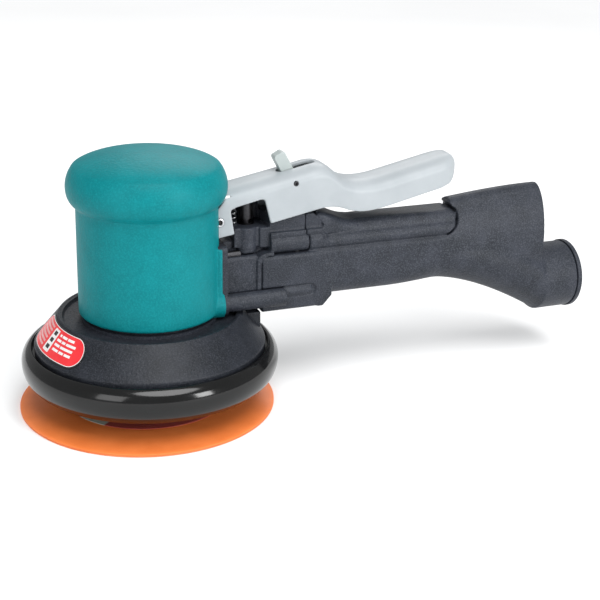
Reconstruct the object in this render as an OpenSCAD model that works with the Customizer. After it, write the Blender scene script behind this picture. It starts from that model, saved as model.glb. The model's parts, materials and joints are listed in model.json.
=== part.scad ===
// Two-hand random orbital sander, driven by air.
// Origin: on the spindle axis, at the working face of the pad. +Z up through the head,
// +X along the handle, so the near side of the tool is -Y.

/* [Pad] */
// Radius of the sanding pad
pad_r = 76; // [70:0.5:78]
// Radius of the flat top of the pad, where the label ring lies
pad_top_r = 50; // [46:1:54]
// Height of the flat top of the pad above its working face
pad_h = 4.3; // [3.8:0.1:5]
// Offset of the pad axis from the motor axis, half of the orbit diameter
orbit = 2.4; // [1.6:0.1:3]

/* [Head] */
// Radius of the grip cover at its bottom edge
grip_r = 41.5; // [41.2:0.1:43]
// Radius of the bulge of the grip cover
dome_r = 47.2; // [46:0.2:49]
// Top of the head above the working face
head_top = 155; // [153:0.5:158]
// Bottom edge of the grip cover
grip_z = 59.2; // [58.8:0.2:60]
// Outer radius of the shroud's lower edge
shroud_r = 68; // [67:0.2:69]
// Outer radius of the overskirt ring
ring_r = 76; // [75:0.5:78]
// Mid height of the overskirt ring
ring_z = 29.8; // [29:0.2:31]

/* [Handle] */
// Half width of the front part of the handle
handle_hw = 16.8; // [16:0.2:18]
// Rear end of the handle block
handle_end = 256; // [252:1:262]
// Rear end of the exhaust cap
tool_end = 284; // [282:1:292]
// Radius of the exhaust chamber's wall
exhaust_r = 21.5; // [21:0.5:23]
// Bore radius of the air inlet thread
inlet_r = 5.7; // [5:0.1:6.5]

/* [Lever] */
// Half width of the throttle lever
lever_hw = 15; // [14.8:0.1:15.4]
// Wall of the throttle lever
lever_wall = 1.8; // [1.5:0.1:1.9]

/* [Hidden] */
$fn = 64;

// Running clearance of a shaft in its hole
run = 0.05;
// Gap between parts that only stand beside each other
gap = 0.3;
// Overlength of cutting bodies
over = 1;

// Spindle and balancer stack, heights above the working face
hub_plate_top = pad_h + 2;
stud_r = 3.97;
spindle_r = 6;
flange_top = 13;
low_brg_z = 16;
high_brg_z = 27;
spindle_brg_h = 8;
spindle_brg_r = 14;
spindle_top = high_brg_z + spindle_brg_h;
cup_r = 18.4;
cup_top = 43;

// Motor stack
shaft_r = 7.5;
motor_brg_r = 17.5;
motor_brg_h = 11;
motor_r = 31;
low_plate_z = 58;
low_plate_top = 76.9;
high_plate_z = 119.1;
high_plate_top = 137;
bore_r = 24;
bore_shift = 2;
rotor_r = 21.8;
vane_t = 3.1;
housing_r = 37;

// Air path
air_z = 84;
air_r = 4.8;
port_z = 94;
port_r = 3.2;
duct_z = 64;
duct_r = 6.5;
side_y = -17;
side_z = 63;
side_r = 5.4;
chamber_z = 49.8;
chamber_r = 18.3;
chamber_x = 256;

// Handle stations along X
flange_x = 41.5;
gasket_t = 1;
front_x = flange_x + gasket_t;
plate_x = 64.5;
grip_x = 104;
block_x = 187;
seam_x = 92.6;

// Throttle valve and lever
valve_x = 59.5;
valve_top = 106.3;
stem_top = 121;
pivot_x = 38.8;
pivot_z = 112.3;
lock_x = 85.8;
lock_z = 131.4;
tab_hw = 3.4;
lean = 28;

// ---- helpers -------------------------------------------------------------

module ring(r_out, r_in, z0, z1) {
    translate([0, 0, z0])
        difference() {
            cylinder(r = r_out, h = z1 - z0);
            translate([0, 0, -over]) cylinder(r = r_in, h = z1 - z0 + 2 * over);
        }
}

module disc(r, z0, z1) {
    translate([0, 0, z0]) cylinder(r = r, h = z1 - z0);
}

module on_pad_axis() {
    translate([-orbit, 0, 0]) children();
}

// Straight bar or bore along X from x0 to x1
module rod_x(r, x0, x1, y, z) {
    translate([x0, y, z]) rotate([0, 90, 0]) cylinder(r = r, h = x1 - x0);
}

// Straight bar or bore along Y, centred on y = 0
module rod_y(r, half, x, z) {
    translate([x, half, z]) rotate([90, 0, 0]) cylinder(r = r, h = 2 * half);
}

// Bar or bore along Z
module rod_z(r, z0, z1, x, y = 0) {
    translate([x, y, z0]) cylinder(r = r, h = z1 - z0);
}

// Box from its low and high corners
module block(a, b) {
    translate(a) cube(b - a);
}

// 2D section in Y and Z, drawn along X
module along_x(x0, x1) {
    translate([x0, 0, 0]) rotate([90, 0, 90]) linear_extrude(x1 - x0) children();
}

// 2D outline in X and Z, drawn to both sides of y = 0
module along_y(half) {
    translate([0, half, 0]) rotate([90, 0, 0]) linear_extrude(2 * half) children();
}

// Rectangle with round corners
module slab(y0, y1, z0, z1, r) {
    translate([y0 + r, z0]) square([y1 - y0 - 2 * r, z1 - z0]);
    translate([y0, z0 + r]) square([y1 - y0, z1 - z0 - 2 * r]);
    for (y = [y0 + r, y1 - r])
        for (z = [z0 + r, z1 - r])
            translate([y, z]) circle(r);
}

// Points of a cubic curve from a to d
function curve(a, b, c, d, n = 8) = [
    for (i = [0 : n])
        let (t = i / n, s = 1 - t)
        s * s * s * a + 3 * s * s * t * b + 3 * s * t * t * c + t * t * t * d
];

// Closed ring of points across X, an ellipse with its own upper and lower height
function egg(x, z, hw, up, down, n = 40) = [
    for (i = [0 : n - 1])
        let (a = 360 * i / n)
        [x, hw * cos(a), z + (sin(a) > 0 ? up : down) * sin(a)]
];

// Solid through a list of such rings
module loft(rings) {
    n = len(rings[0]);
    m = len(rings);
    sides = [
        for (j = [0 : m - 2])
            for (i = [0 : n - 1])
                let (a = j * n + i, b = j * n + (i + 1) % n)
                each [[a, a + n, b + n], [a, b + n, b]]
    ];
    low_cap = [for (i = [0 : n - 1]) i];
    high_cap = [for (i = [n - 1 : -1 : 0]) (m - 1) * n + i];
    polyhedron(points = [for (r = rings) each r], faces = concat([low_cap, high_cap], sides));
}

// Ball bearing rings and balls: bore, outside radius, width and ball count
module bearing_outer(r_in, r_out, z, h) {
    mid = (r_in + r_out) / 2;
    land = (r_out - r_in) * 0.2;
    difference() {
        ring(r_out, mid + land, z, z + h);
        translate([0, 0, z + h / 2])
            rotate_extrude() translate([mid, 0]) circle(ball_radius(r_in, r_out) + run);
    }
}

module bearing_inner(r_in, r_out, z, h) {
    mid = (r_in + r_out) / 2;
    land = (r_out - r_in) * 0.2;
    difference() {
        ring(mid - land, r_in, z, z + h);
        translate([0, 0, z + h / 2])
            rotate_extrude() translate([mid, 0]) circle(ball_radius(r_in, r_out) + run);
    }
}

module bearing_balls(r_in, r_out, z, h, count) {
    for (i = [0 : count - 1])
        rotate([0, 0, i * 360 / count])
            translate([(r_in + r_out) / 2, 0, z + h / 2])
                sphere(r = ball_radius(r_in, r_out), $fn = 24);
}

function ball_radius(r_in, r_out) = (r_out - r_in) * 0.29;

// ---- pad -----------------------------------------------------------------

module pad_face() {
    color("orangered") on_pad_axis() disc(pad_r, 0, 1);
}

module pad_body() {
    color("darkorange") on_pad_axis()
        difference() {
            rotate_extrude($fn = 96)
                polygon([[0, 1], [pad_r - 0.3, 1], [pad_r - 0.2, 1.7], [pad_top_r, pad_h], [0, pad_h]]);
            disc(12.05, 2.3, pad_h + over);
            pad_rivet_places() disc(1.62, 1.75, pad_h + over);
        }
}

module pad_label() {
    color("gray") on_pad_axis() ring(pad_top_r - 0.5, 31, pad_h, pad_h + 0.3);
}

module pad_hub_plate() {
    color("silver") on_pad_axis()
        difference() {
            disc(30, pad_h, hub_plate_top);
            disc(stud_r + run, pad_h - over, hub_plate_top + over);
            pad_rivet_places() disc(1.62, pad_h - over, hub_plate_top + over);
        }
}

module pad_rivet_places() {
    for (a = [30 : 60 : 330])
        rotate([0, 0, a]) translate([22, 0, 0]) children();
}

module pad_rivets() {
    color("gainsboro") on_pad_axis()
        pad_rivet_places() {
            disc(1.6, 1.8, hub_plate_top + 0.2);
            disc(3, hub_plate_top, hub_plate_top + 1);
        }
}

module pad_stud() {
    color("dimgray") on_pad_axis() {
        disc(12, 2.3, pad_h);
        disc(stud_r, 2.3, 20);
    }
}

// ---- spindle and its bearings ---------------------------------------------

module pad_spindle() {
    color("lightsteelblue") on_pad_axis()
        difference() {
            union() {
                intersection() {
                    disc(14, hub_plate_top + 0.1, flange_top);
                    block([-12, -20, 0], [12, 20, 20]);
                }
                disc(spindle_r - 0.01, hub_plate_top + 0.1, spindle_top);
            }
            disc(stud_r + run, 0, 22);
            disc(2.5, 21, spindle_top + over);
        }
}

module spindle_bearing_inner_rings() {
    color("silver") on_pad_axis()
        for (z = [low_brg_z, high_brg_z])
            bearing_inner(spindle_r, spindle_brg_r, z, spindle_brg_h);
}

module spindle_ball_sets() {
    color("white") on_pad_axis()
        for (z = [low_brg_z, high_brg_z])
            bearing_balls(spindle_r, spindle_brg_r, z, spindle_brg_h, 8);
}

module spindle_bearing_outer_rings() {
    color("gray") on_pad_axis()
        for (z = [low_brg_z, high_brg_z])
            bearing_outer(spindle_r, spindle_brg_r, z, spindle_brg_h);
}

module bearing_spacer() {
    color("tan") on_pad_axis()
        ring(8, spindle_r, low_brg_z + spindle_brg_h, high_brg_z);
}

module dust_shield() {
    color("slategray") on_pad_axis() ring(13, spindle_r, flange_top, flange_top + 0.8);
}

// Internal retaining ring, open at its ears
module spindle_snap_ring() {
    color("darkslategray") on_pad_axis()
        difference() {
            ring(14.8, 12.6, 14.4, 15.6);
            block([10, -2.5, 14], [16, 2.5, 16]);
        }
}

module spindle_washer() {
    color("silver") on_pad_axis() ring(7.5, 2.6, spindle_top, spindle_top + 1.2);
}

module spindle_screw() {
    color("dimgray") on_pad_axis()
        difference() {
            union() {
                disc(2.48, 23, spindle_top + 1.3);
                disc(4.5, spindle_top + 1.2, spindle_top + 4);
            }
            translate([0, 0, spindle_top + 2]) cylinder(r = 2.2, h = 5, $fn = 6);
        }
}

// Eccentric cup with its counterweight, one piece with the motor shaft
module balancer_shaft() {
    color("steelblue")
        difference() {
            union() {
                on_pad_axis() disc(cup_r, flange_top + 0.6, cup_top);
                rotate([0, 0, -62])
                    rotate_extrude(angle = 124, $fn = 96)
                        translate([12, 18]) square([28, 15]);
                disc(11, cup_top - over, low_plate_z - 0.6);
                disc(8.6, low_plate_z - over, low_plate_z);
                disc(shaft_r - 0.01, low_plate_z - over, high_plate_top + 0.8);
            }
            on_pad_axis() {
                disc(spindle_brg_r + 0.01, 0, spindle_top);
                disc(11, spindle_top - over, cup_top - 3);
                disc(15, 14.3, 15.7);
            }
            rotor_key_slot();
        }
}

// ---- air motor -------------------------------------------------------------

module rotor_key_slot() {
    block([shaft_r - 2.5, -1.5, 88], [shaft_r + 2, 1.5, 108]);
}

module rotor_key() {
    color("goldenrod") block([shaft_r - 2.4, -1.48, 88.1], [shaft_r + 1.9, 1.48, 107.9]);
}

module rotor() {
    color("lightslategray")
        difference() {
            disc(rotor_r, low_plate_top + 0.15, high_plate_z - 0.15);
            disc(shaft_r, low_plate_top - over, high_plate_z + over);
            rotor_key_slot();
            for (a = [36 : 72 : 324])
                rotate([0, 0, a]) block(
                    [12, -vane_t / 2 - run, low_plate_z],
                    [30, vane_t / 2 + run, high_plate_z + over]
                );
        }
}

module rotor_vanes() {
    color("saddlebrown")
        intersection() {
            disc(rotor_r - run, low_plate_top, high_plate_z);
            for (a = [36 : 72 : 324])
                rotate([0, 0, a])
                    block([12.2, -vane_t / 2, low_plate_top + 0.2], [30, vane_t / 2, high_plate_z - 0.2]);
        }
}

module motor_cylinder() {
    color("lightgray")
        difference() {
            disc(motor_r, low_plate_top, high_plate_z);
            translate([0, bore_shift, 0]) disc(bore_r, low_plate_top - over, high_plate_z + over);
            rod_x(port_r, 15, motor_r + over, 0, port_z);
            for (z = [86, 98, 110])
                rotate([0, 0, 150]) rod_x(2.5, 15, motor_r + over, 0, z);
            rod_z(1.52, low_plate_top - over, high_plate_z + over, -27.5, -3);
        }
}

// Passage from the cylinder's exhaust ports down to the chamber around the lower plate
module exhaust_channel() {
    rotate([0, 0, 150]) block([motor_r - 2, -5, low_plate_z + 4], [motor_r + 3, 5, 114]);
    ring(motor_r + 2.6, motor_r - 3, low_plate_z + 1.5, low_plate_z + 10.5);
}

module lower_end_plate() {
    color("darkgray")
        difference() {
            disc(motor_r, low_plate_z, low_plate_top);
            disc(motor_brg_r + 0.01, low_plate_z - over, low_plate_z + motor_brg_h);
            disc(9.2, low_plate_z, low_plate_top + over);
            ring(motor_r + over, 26, low_plate_z + 1.5, low_plate_z + 10.5);
            rod_z(1.52, low_plate_z + 12, low_plate_top + over, -27.5, -3);
        }
}

module upper_end_plate() {
    color("darkgray")
        difference() {
            disc(motor_r, high_plate_z, high_plate_top);
            disc(motor_brg_r + 0.01, high_plate_top - motor_brg_h, high_plate_top + over);
            disc(9.2, high_plate_z - over, high_plate_top);
            rod_z(1.52, high_plate_z - over, high_plate_z + 8, -27.5, -3);
        }
}

module locating_pin() {
    color("black") rod_z(1.5, low_plate_z + 12.2, high_plate_z + 7.8, -27.5, -3);
}

module lock_ring() {
    color("slategray")
        difference() {
            ring(34, 20, 52, low_plate_z);
            for (a = [0 : 90 : 270])
                rotate([0, 0, a]) rod_z(1.8, 51, 56, 27);
        }
}

module motor_bearing_inner_rings() {
    color("silver")
        for (z = [low_plate_z, high_plate_top - motor_brg_h])
            bearing_inner(shaft_r, motor_brg_r, z, motor_brg_h);
}

module motor_ball_sets() {
    color("white")
        for (z = [low_plate_z, high_plate_top - motor_brg_h])
            bearing_balls(shaft_r, motor_brg_r, z, motor_brg_h, 9);
}

module motor_bearing_outer_rings() {
    color("gray")
        for (z = [low_plate_z, high_plate_top - motor_brg_h])
            bearing_outer(shaft_r, motor_brg_r, z, motor_brg_h);
}

module preload_washer() {
    color("tan") ring(16.5, 14.2, high_plate_top, high_plate_top + 1.5);
}

// ---- housing, grip cover, shroud -------------------------------------------

module handle_bolts(y = 11.5) {
    for (s = [-y, y])
        for (z = [72, 91])
            translate([0, s, z]) children();
}

module motor_housing() {
    color([0.2, 0.2, 0.21])
        difference() {
            union() {
                rotate_extrude($fn = 96)
                    polygon([
                        [0, 50], [40, 50], [40, 57], [housing_r, 57], [housing_r, 132],
                        [35, 138], [30, 142], [0, 142]
                    ]);
                block([28, -19, 57], [flange_x - 1.5, 19, 98.5]);
                along_x(36, flange_x) slab(-21, 21, 57, 98.5, 2);
                along_x(34, 45) slab(-12.4, 12.4, 104, 119, 3);
                rod_x(7, 24, flange_x, side_y, side_z);
                rod_y(5.6, 12.4, pivot_x + 0.5, pivot_z - 0.5);
            }
            disc(34.02, 50 - over, low_plate_z);
            disc(motor_r + run, low_plate_z - over, high_plate_top + 1.5);
            exhaust_channel();
            rod_x(port_r, 20, flange_x + over, 0, port_z);
            rod_x(side_r - 1.5, 24, flange_x + over, side_y, side_z);
            rod_x(side_r + run, 39, flange_x + over, side_y, side_z);
            handle_bolts() {
                rod_x(2.05, 20, flange_x + over, 0, 0);
                rod_x(3.6, 20, 35.5, 0, 0);
            }
            rod_y(2.52, 20, pivot_x, pivot_z);
        }
}

module dome_outline(grow) {
    crease_z = 124.3;
    polygon(concat(
        [[0, grip_z - over], [grip_r + grow, grip_z - over], [grip_r - 0.5 + grow, crease_z]],
        curve(
            [42 + grow, crease_z + 0.6], [47 + grow, 128],
            [dome_r + 1 + grow, 138], [42 + grow, 146.4], 14
        ),
        curve(
            [42 + grow, 146.4], [35 + grow, 151.5],
            [18, head_top - 0.5 + grow], [0, head_top + grow], 14
        )
    ));
}

module grip_cover() {
    wall = 4;
    hood_r = 8.6;
    color([0.0, 0.58, 0.6])
        difference() {
            union() {
                rotate_extrude($fn = 96)
                    intersection() {
                        dome_outline(0);
                        translate([0, grip_z]) square([80, 200]);
                    }
                // hood over the start of the side tube
                rod_x(hood_r, 30, 39.6, side_y, side_z + 0.5);
            }
            rotate_extrude($fn = 96)
                polygon([
                    [0, 40], [housing_r + gap, 40], [housing_r + gap, 128], [43, 134],
                    [42.5, 138], [38.5, 143], [30, 147.5], [17, 150], [0, head_top - wall]
                ]);
            rod_x(7.3, 20, 60, side_y, side_z);
            block([20, -21.4, 50], [80, 21.4, 98.9]);
            block([33.9, -lever_hw - 0.9, 98], [80, lever_hw + 0.9, 124.3]);
            disc(80, 40, 55.4);
        }
}

module shroud() {
    slope_r = 53.5;
    top_z = 58;
    lip_z = 39.9;
    color([0.22, 0.22, 0.23])
        difference() {
            union() {
                rotate_extrude($fn = 96)
                    polygon([
                        [40.05, 50.5], [50, 50.5], [51.8, 54], [shroud_r - 2.6, 38.5],
                        [shroud_r - 2.6, 33], [shroud_r, 33], [shroud_r, lip_z - 1],
                        [shroud_r - 0.8, lip_z + 0.9], [slope_r, top_z - 0.4], [slope_r - 1, top_z],
                        [51.4, top_z - 0.3], [50.6, 55], [40.05, 55]
                    ]);
                // web under the root of the handle
                along_y(13) polygon([[54.2, 53.4], [62.4, 42.9], [64.8, 42.9], [64.8, 53.4]]);
            }
            // flat under the handle and its side tube
            block([36, -24, 56.5], [80, 18, 70]);
        }
}

// Printed label plate on the slope, rim and all
module shroud_label() {
    slope = atan2(18.1, 14.5);
    color("crimson")
        rotate([0, 0, 159])
            rotate_extrude(angle = 60, $fn = 96)
                translate([60.75, 48.95])
                    rotate([0, 0, 180 - slope])
                        translate([-8.3, -0.35]) square([16.6, 0.3]);
}

// Skirt with an upright glossy face, a tight top edge and a rounded foot
module overskirt_ring() {
    wall = 3;
    top = ring_z + 8.9;
    foot = ring_z - 12.2;
    inner = ring_r - wall;
    heel = ring_r - 8.9;
    color([0.08, 0.08, 0.08])
        rotate_extrude($fn = 120) {
            polygon(concat(
                curve([heel, foot], [ring_r - 3.6, foot + 1.2], [ring_r, foot + 6], [ring_r, ring_z]),
                curve([ring_r, ring_z], [ring_r, ring_z + 5], [ring_r - 2.8, top - 1.4], [ring_r - 5, top]),
                [[ring_r - 6.2, top], [ring_r - 6.4, top - 1], [ring_r - 5.6, top - 2.6]],
                curve([ring_r - 5.2, top - 3], [inner - 1, top - 4], [inner, ring_z + 2], [inner, ring_z]),
                curve([inner, ring_z], [inner, foot + 6], [inner - 2, foot + 2.6], [heel, foot + 1.6])
            ));
            translate([shroud_r + run, ring_z + 4]) square([4.6, 3]);
        }
}

// ---- handle ------------------------------------------------------------------

module handle_gasket() {
    color("darkolivegreen")
        difference() {
            along_x(flange_x, front_x) slab(-15, 15, 58, 98, 2);
            rod_x(port_r + 0.3, 30, 50, 0, port_z);
            rod_x(side_r + 0.2, 30, 50, side_y, side_z);
            handle_bolts() rod_x(2.3, 30, 60, 0, 0);
        }
}

module handle_screws() {
    color("dimgray")
        handle_bolts()
            difference() {
                union() {
                    rod_x(2, 32, 52, 0, 0);
                    rod_x(3.5, 31.8, 35.4, 0, 0);
                }
                translate([30, 0, 0]) rotate([0, 90, 0]) cylinder(r = 1.7, h = 3.8, $fn = 6);
            }
}

// Section of the hand grip: body, side tubes and the ridge under the lever
module grip_section() {
    slab(-16.3, 16.3, 58, 89.5, 9);
    slab(-16.35, 16.35, 74, 89.2, 3);
    slab(-16, 16, 89, 98, 4.2);
    slab(-12.6, 12.6, 91, 104.2, 6.5);
}

function under(x) =
    let (t = (x - block_x) / (handle_end - block_x))
    58 - 29 * pow(t, 1.55);

module rear_block() {
    loft([
        for (i = [0 : 8])
            let (x = block_x + (handle_end - block_x) * i / 8, top = 108 + 6 * sin(i * 11.25))
            egg(x, 78, 16.6, top - 78, 20)
    ]);
    loft([
        for (i = [0 : 10])
            let (
                x = block_x - 6 + (handle_end - block_x + 6) * i / 10,
                t = max(0, (x - block_x) / (handle_end - block_x)),
                r = 16.2 + (exhaust_r - 17) * t
            )
            egg(x, under(max(x, block_x)) + r, r, r, r)
    ]);
    along_x(block_x, handle_end) slab(-16.5, 16.5, 62, 80, 4.9);
    rod_x(exhaust_r, handle_end - 1, tool_end - 3.2, 0, chamber_z);
}

module grip_screw_places() {
    for (y = [-11, 11])
        translate([88, y, 0]) children();
}

module grip_screws() {
    color("dimgray")
        grip_screw_places()
            difference() {
                union() {
                    disc(2, 62, 97);
                    disc(3.5, 60, 64);
                }
                translate([0, 0, 59]) cylinder(r = 1.7, h = 3.5, $fn = 6);
            }
}

module handle_body() {
    color([0.2, 0.2, 0.21])
        difference() {
            union() {
                along_x(plate_x, grip_x) slab(-handle_hw, handle_hw, 53.8, 88.8, 2.5);
                along_y(handle_hw) polygon([
                    [grip_x - 1, 53.8], [grip_x, 53.8], [grip_x + 6, 60], [grip_x - 1, 60]
                ]);
                along_x(grip_x - 2, block_x + 4) grip_section();
                along_x(seam_x + 2.1, grip_x + 3) slab(-16.25, 16.25, 88.6, 101.25, 6.2);
                along_x(seam_x + 2.1, grip_x) slab(-12.6, 12.6, 95, 112.2, 2);
                along_y(12.6) polygon(concat(
                    [[seam_x + 2.1, 98], [seam_x + 2.1, 112.2]],
                    curve([grip_x - 7, 112.2], [grip_x - 2, 112.2], [grip_x, 104], [grip_x + 14, 103]),
                    [[grip_x + 14, 98]]
                ));
                rear_block();
            }
            // supply gallery from the inlet to the valve chamber
            rod_x(air_r, 50, handle_end, 0, air_z);
            rod_x(9.52, 231, handle_end + over, 0, air_z);
            // exhaust duct and muffler chamber
            rod_x(duct_r, 68, chamber_x + over, 0, duct_z);
            rod_x(chamber_r, chamber_x, tool_end + over, 0, chamber_z);
            // room for the valve chamber and its plug
            rod_z(6.5, 50, 91, valve_x);
            // seat of the side tube and its cross passage
            rod_x(side_r + run, 30, 79, side_y, side_z);
            block([78.9, side_y - 6, side_z - 1.6], [99, -handle_hw + 1.5, side_z + 6.6]);
            translate([74, side_y + 3, side_z]) rotate([-90, 0, 0]) cylinder(r = 2.8, h = 12);
            grip_screw_places() {
                disc(2.02, 50, 99);
                disc(3.7, 50, 64);
            }
        }
}

module exhaust_tube() {
    color([0.14, 0.14, 0.15])
        difference() {
            union() {
                rod_x(side_r, flange_x - 2, 78, side_y, side_z);
                rod_x(side_r + 0.03, 77, 78.8, side_y, side_z);
            }
            rod_x(side_r - 1.5, 30, 76.5, side_y, side_z);
            translate([74, side_y, side_z]) rotate([-90, 0, 0]) cylinder(r = 2.8, h = 12);
        }
}

module muffler_felt() {
    color("lightgray")
        difference() {
            rod_x(chamber_r - 0.1, chamber_x + 2.5, tool_end - 4, 0, chamber_z);
            rod_x(9, chamber_x, tool_end, 0, chamber_z);
        }
}

module exhaust_cap() {
    color([0.16, 0.16, 0.17])
        difference() {
            union() {
                rod_x(exhaust_r + 1, tool_end - 3.2, tool_end, 0, chamber_z);
                rod_x(chamber_r - run, tool_end - 4, tool_end - 3, 0, chamber_z);
            }
            rod_x(12, tool_end - 10, tool_end + over, 0, chamber_z);
        }
}

module inlet_bushing() {
    color("darkgoldenrod")
        difference() {
            rod_x(9.5, 234, handle_end + 0.4, 0, air_z);
            rod_x(inlet_r, 230, handle_end + 2, 0, air_z);
        }
}

module inlet_screen() {
    color("silver")
        difference() {
            rod_x(9.4, 231.2, 234, 0, air_z);
            for (a = [0 : 60 : 300])
                translate([0, 3.2 * cos(a), air_z + 3.2 * sin(a)])
                    rod_x(1.1, 230, 236, 0, 0);
            rod_x(1.1, 230, 236, 0, air_z);
        }
}

// ---- throttle valve -----------------------------------------------------------

module valve_housing() {
    color([0.17, 0.17, 0.18])
        difference() {
            union() {
                // root block against the motor flange
                along_x(front_x, plate_x - 0.1) slab(-15.4, 15.4, 57, 90, 2);
                // valve tower
                along_x(48.7, 69.9) slab(-11, 11, 94.5, valve_top, 1);
                along_x(front_x, 74) slab(-8, 8, 89, 98, 1);
                rod_z(6.5, 91, valve_top, 57.4, -6.5);
                rod_z(6.5, 91, valve_top, 57.4, 6.5);
                // guard on the far side of the stem
                along_x(49.5, 66) slab(5.6, 12.4, 104, 117, 1);
                // shelf over the front of the handle
                along_x(70.2, seam_x + 2) slab(-16.25, 16.25, 88.9, 101.25, 6.1);
                along_x(70.2, seam_x) slab(-12.6, 12.6, 95, 112.2, 2);
            }
            rod_z(6.5, 73, 101, valve_x);
            rod_z(6.5, 50, 74, valve_x);
            rod_z(4.5, 100, valve_top + over, valve_x);
            rod_x(port_r, 40, valve_x, 0, port_z);
            rod_x(air_r, valve_x, 70, 0, air_z);
            rod_x(side_r + run, 30, 79, side_y, side_z);
            handle_bolts() rod_x(2.02, 30, 55, 0, 0);
            grip_screw_places() disc(2.02, 80, 99);
        }
}

// Return spring of the lever, drawn as its flat wire turns
module lever_spring() {
    color("silver")
        for (z = [valve_top + 0.3 : 2.6 : 126])
            translate([51.4, 0, 0]) ring(2.5, 1.7, z, z + 0.8);
}

module stem_bushing() {
    color("goldenrod")
        difference() {
            rod_z(4.45, 101, valve_top + 0.2, valve_x);
            rod_z(2.56, 100, 110, valve_x);
            rod_z(3.6, 103, 105, valve_x);
        }
}

module stem_seal() {
    color("black")
        translate([0, 0, 103.1])
            difference() {
                rod_z(3.55, 0, 1.8, valve_x);
                rod_z(2.56, -over, 3, valve_x);
            }
}

module valve_seat() {
    color("khaki")
        difference() {
            rod_z(6.45, 88, 90.9, valve_x);
            rod_z(3.7, 80, 100, valve_x);
        }
}

module valve_stem() {
    color("gainsboro") {
        rod_z(2.5, 84, 112, valve_x);
        rod_z(5.2, 85.4, 87.9, valve_x);
        rod_z(4.2, 109.2, stem_top, valve_x);
    }
}

// Light spring below the stem, drawn as its flat wire turns
module valve_spring() {
    color("silver")
        for (z = [73.2 : 2.4 : 83])
            translate([valve_x, 0, 0]) ring(4.4, 3.4, z, z + 0.8);
}

module valve_plug() {
    color("darkgoldenrod")
        difference() {
            rod_z(6.48, 68.5, 73, valve_x);
            translate([valve_x, 0, 67]) cylinder(r = 2.6, h = 4, $fn = 6);
        }
}

// ---- lever and lock --------------------------------------------------------------

// Side outline of the lever; drop lowers the top edge for the rounded shoulders
module lever_outline(drop) {
    polygon(concat(
        [[47.8, 104.3], [36.1, 102.5], [36.4, 114.3], [37.4, 119.9], [41.6, 125], [43.5, 129.8 - drop]],
        curve([52, 131 - drop], [80, 136.2 - drop], [100, 144.5 - drop], [111, 137 - drop]),
        curve([115, 133 - drop], [124, 126 - drop], [140, 129 - drop], [186, 139.2 - drop]),
        curve([189.5, 137 - drop / 2], [192, 131], [190, 124], [184, 121.9], 5),
        curve([179.7, 120.3], [150, 114], [135, 108.5], [124, 111.3], 6),
        curve([120, 112.2], [112, 115.8], [106, 115.8], [100, 114.5], 4),
        [[70.4, 108.8], [66.5, 123.3], [65.1, 124], [46.4, 119.9], [45.4, 118.5]]
    ));
}

module lever_hollow() {
    polygon(concat(
        [[30, 90], [30, 121], [44, 127]],
        curve([52, 128.4], [80, 133.8], [100, 142], [110, 134.6]),
        curve([114, 130.8], [124, 123.4], [140, 126.4], [187, 136.6]),
        [[200, 136], [200, 90]]
    ));
}

module throttle_lever() {
    inner = lever_hw - lever_wall;
    color([0.82, 0.84, 0.86])
        difference() {
            union() {
                difference() {
                    union() {
                        along_y(lever_hw) lever_outline(5.5);
                        along_y(lever_hw - 1.6) lever_outline(2);
                        along_y(lever_hw - 4.2) lever_outline(0);
                    }
                    along_y(inner) lever_hollow();
                    along_y(tab_hw + 0.6)
                        polygon([[77.8, 131], [77.8, 146], [101, 146], [101, 131]]);
                }
                // nose that presses the valve stem
                rod_y(2.5, 5, valve_x, stem_top + 2.62);
                block([valve_x - 2.2, -5, stem_top + 2.6], [valve_x + 2.2, 5, 130.5]);
            }
            rotate_extrude($fn = 96)
                polygon([[0, 124.2], [grip_r, 124.2], [45.7, 127.5], [47.9, 134], [47.9, 150], [0, 150]]);
            rod_y(2.55, 20, pivot_x, pivot_z);
            rod_y(1.5, 20, lock_x, lock_z);
        }
}

module lever_pin() {
    color("silver")
        difference() {
            rod_y(2.5, lever_hw + 0.5, pivot_x, pivot_z);
            for (s = [-1, 1])
                translate([pivot_x, s * (lever_hw + 0.5), pivot_z])
                    rotate([90, 0, 0]) cylinder(r = 1.3, h = 2, center = true);
        }
}

module lock_pin() {
    color("silver")
        difference() {
            rod_y(1.49, lever_hw - 0.2, lock_x, lock_z);
            for (s = [-1, 1])
                translate([lock_x, s * (lever_hw - 0.2), lock_z])
                    rotate([90, 0, 0]) cylinder(r = 0.8, h = 2, center = true);
        }
}

// Safety tab: the leg stands over the handle and stops the lever
module lock_tab() {
    leg = 17.5;
    color([0.85, 0.87, 0.88])
        difference() {
            union() {
                along_y(tab_hw) {
                    translate([lock_x, lock_z]) circle(4);
                    translate([lock_x, lock_z])
                        rotate([0, 0, lean]) {
                            translate([-2.4, 0]) square([5.4, 15]);
                            translate([-3.5, 8.8]) square([7.2, 6]);
                            translate([-2.5, 9.8]) square([5.2, 7]);
                            for (x = [-2.5, 2.7])
                                translate([x, 15.8]) circle(1);
                        }
                    translate([lock_x - 2.2, lock_z - leg + 2.2]) square([4.4, leg - 2.2]);
                    translate([lock_x, lock_z - leg + 2.2]) circle(2.2);
                }
            }
            rod_y(1.55, 20, lock_x, lock_z);
        }
}

// Torsion spring beside the tab
module lock_spring() {
    color("silver")
        for (i = [0 : 3])
            translate([lock_x, tab_hw + 0.8 + 1.1 * i, lock_z])
                rotate([-90, 0, 0])
                    difference() {
                        cylinder(r = 3.2, h = 0.8);
                        translate([0, 0, -over]) cylinder(r = 2.2, h = 3);
                    }
}

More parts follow.
